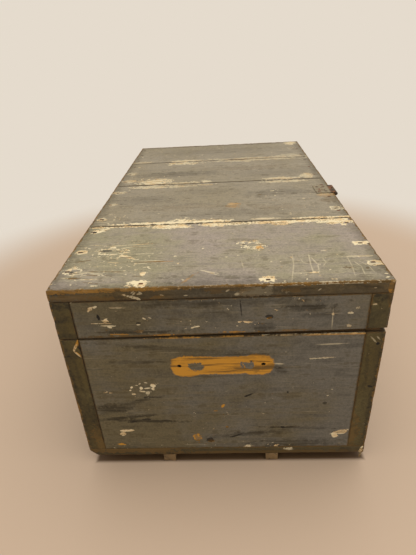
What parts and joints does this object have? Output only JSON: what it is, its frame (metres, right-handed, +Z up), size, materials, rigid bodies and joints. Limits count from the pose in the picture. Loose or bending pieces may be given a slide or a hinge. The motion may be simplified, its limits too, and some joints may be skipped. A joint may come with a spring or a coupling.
{
  "type": "wooden trunk",
  "caption": "Low nailed wooden storage trunk on lengthwise runners, with a planked lid that swings on hinges at the back and is kept shut by a hasp and staple.",
  "frame": {"origin": "on the floor under the middle of the whole trunk's bounding box, ironwork included", "axes": "+X across the trunk from the hinged back board to the front board with the hasp, +Y along it from the near end to the far end, +Z up"},
  "size_m": [0.4844, 0.82, 0.3498],
  "materials": {
    "grey_painted_wood": "old flaking grey-green oil paint over pine, worn to bare wood at the arrises",
    "weathered_wood": "bare pine gone brown and dirty",
    "rusted_iron": "wrought iron plate, brown with rust",
    "fastener_iron": "dark rusted nails and screws"
  },
  "bodies": {
    "base": {"base_front_board": "grey_painted_wood", "base_back_board": "grey_painted_wood", "base_near_board": "grey_painted_wood", "base_far_board": "grey_painted_wood", "bottom_plank_1": "weathered_wood", "bottom_plank_2": "weathered_wood", "bottom_plank_3": "weathered_wood", "bottom_plank_4": "weathered_wood", "runner_front": "weathered_wood", "runner_back": "weathered_wood", "hinge_near_base_leaf": "rusted_iron", "hinge_far_base_leaf": "rusted_iron", "hinge_pins": "rusted_iron", "hasp_staple": "rusted_iron", "hinge_base_screws": "fastener_iron", "staple_screws": "fastener_iron", "base_corner_nails": "fastener_iron", "bottom_nails": "fastener_iron", "runner_nails": "fastener_iron"},
    "lid": {"lid_plank_1": "grey_painted_wood", "lid_plank_2": "grey_painted_wood", "lid_plank_3": "grey_painted_wood", "lid_plank_4": "grey_painted_wood", "lid_front_board": "grey_painted_wood", "lid_back_board": "grey_painted_wood", "lid_near_board": "grey_painted_wood", "lid_far_board": "grey_painted_wood", "hinge_near_lid_leaf": "rusted_iron", "hinge_far_lid_leaf": "rusted_iron", "hasp_leaf": "rusted_iron", "hasp_pin": "rusted_iron", "hinge_lid_screws": "fastener_iron", "hasp_screws": "fastener_iron", "lid_top_nails": "fastener_iron", "lid_corner_nails": "fastener_iron"},
    "hasp": {"hasp_strap": "rusted_iron"}
  },
  "joints": [
    {"name": "lid_hinge", "type": "hinge", "parent": "base", "child": "lid", "pos_m": [-0.23862, 0, 0.2659], "axis": [0, -1, 0], "range_deg": [0, 180]},
    {"name": "hasp_hinge", "type": "hinge", "parent": "lid", "child": "hasp", "pos_m": [0.22898, -0.04, 0.3462], "axis": [0, -1, 0], "range_deg": [0, 225]}
  ]
}
